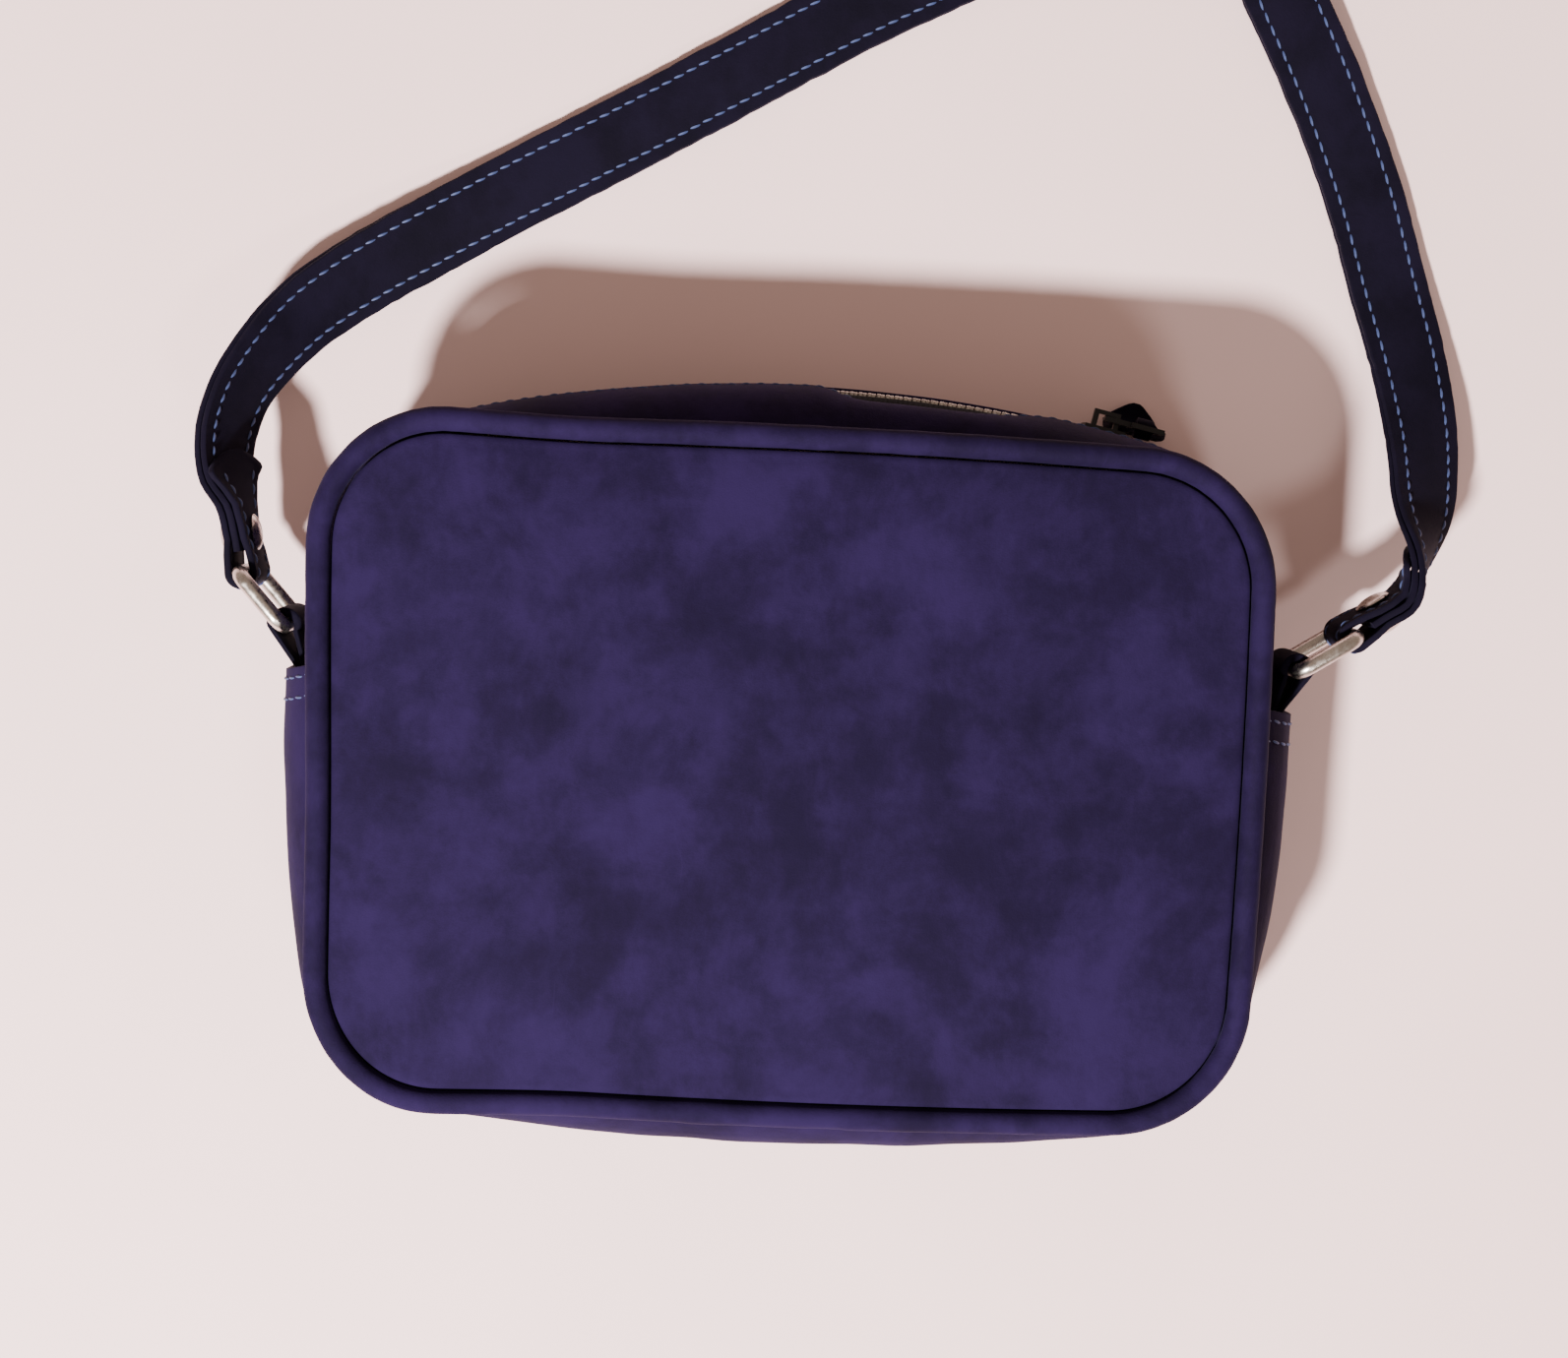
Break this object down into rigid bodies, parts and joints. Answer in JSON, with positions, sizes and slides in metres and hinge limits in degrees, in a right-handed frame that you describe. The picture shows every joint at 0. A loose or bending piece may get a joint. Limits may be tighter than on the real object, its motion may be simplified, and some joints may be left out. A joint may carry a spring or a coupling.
{
  "type": "crossbody bag",
  "caption": "Zipped leather crossbody bag with piped panels, a bulging gusset, strap rings on leather tabs and a long stitched leather strap.",
  "frame": {"origin": "middle of the front panel's outer face, which the bag lies on", "axes": "+X along the bag's length, +Y towards the zipped top, +Z from the front panel to the back panel"},
  "size_m": [0.3512, 0.5013, 0.0611],
  "materials": {
    "nubuck": "matt nubuck leather, blue violet, mottled",
    "strap_leather": "matt nubuck leather, dark navy violet, stitched",
    "lining": "plain woven lining",
    "zip_tape": "black woven zip tape",
    "nickel": "polished nickel plate",
    "black_metal": "smooth black lacquer over metal"
  },
  "bodies": {
    "bag": {"back_panel": "nubuck", "back_piping": "nubuck", "bottom_stop": "nickel", "front_panel": "nubuck", "front_piping": "nubuck", "lining_back": "lining", "lining_front": "lining", "lining_gusset": "lining", "lining_zip_strip_back": "lining", "lining_zip_strip_front": "lining", "lower_gusset": "nubuck", "ring_tab_left": "strap_leather", "ring_tab_right": "strap_leather", "strap_inner_layer": "strap_leather", "strap_outer_layer": "strap_leather", "top_stop_back": "nickel", "top_stop_front": "nickel", "zip_gusset_back": "nubuck", "zip_gusset_front": "nubuck", "zipper_tape_back": "zip_tape", "zipper_tape_front": "zip_tape", "zipper_teeth_back": "nickel", "zipper_teeth_front": "nickel"},
    "ring_left": {"strap_ring_left": "nickel", "rivet_cap_left": "nickel", "rivet_base_left": "nickel"},
    "ring_right": {"strap_ring_right": "nickel", "rivet_cap_right": "nickel", "rivet_base_right": "nickel"},
    "slider": {"zipper_slider": "black_metal"},
    "pull": {"pull_tab": "black_metal"},
    "puller": {"leather_puller": "strap_leather"}
  },
  "joints": [
    {"name": "zip_travel", "type": "hinge", "parent": "bag", "child": "slider", "pos_m": [0, -0.24919, 0.03025], "axis": [0, 0, 1], "range_deg": [0, 24.25]},
    {"name": "pull_tab_swing", "type": "hinge", "parent": "slider", "child": "pull", "pos_m": [0.07208, 0.08629, 0.03025], "axis": [0, 0, 1], "range_deg": [0, 105]},
    {"name": "puller_swing", "type": "hinge", "parent": "pull", "child": "puller", "pos_m": [0.08162, 0.08425, 0.02605], "axis": [0.9777, -0.2101, 0], "range_deg": [0, 100]},
    {"name": "ring_left_swing", "type": "hinge", "parent": "bag", "child": "ring_left", "pos_m": [-0.1194, 0.029, 0.03025], "axis": [0, 0, 1], "range_deg": [-10, 60], "deforming": ["strap_outer_layer", "strap_inner_layer"]},
    {"name": "ring_right_swing", "type": "hinge", "parent": "bag", "child": "ring_right", "pos_m": [0.1194, 0.029, 0.03025], "axis": [0, 0, 1], "range_deg": [-60, 40], "deforming": ["strap_outer_layer", "strap_inner_layer"]}
  ]
}
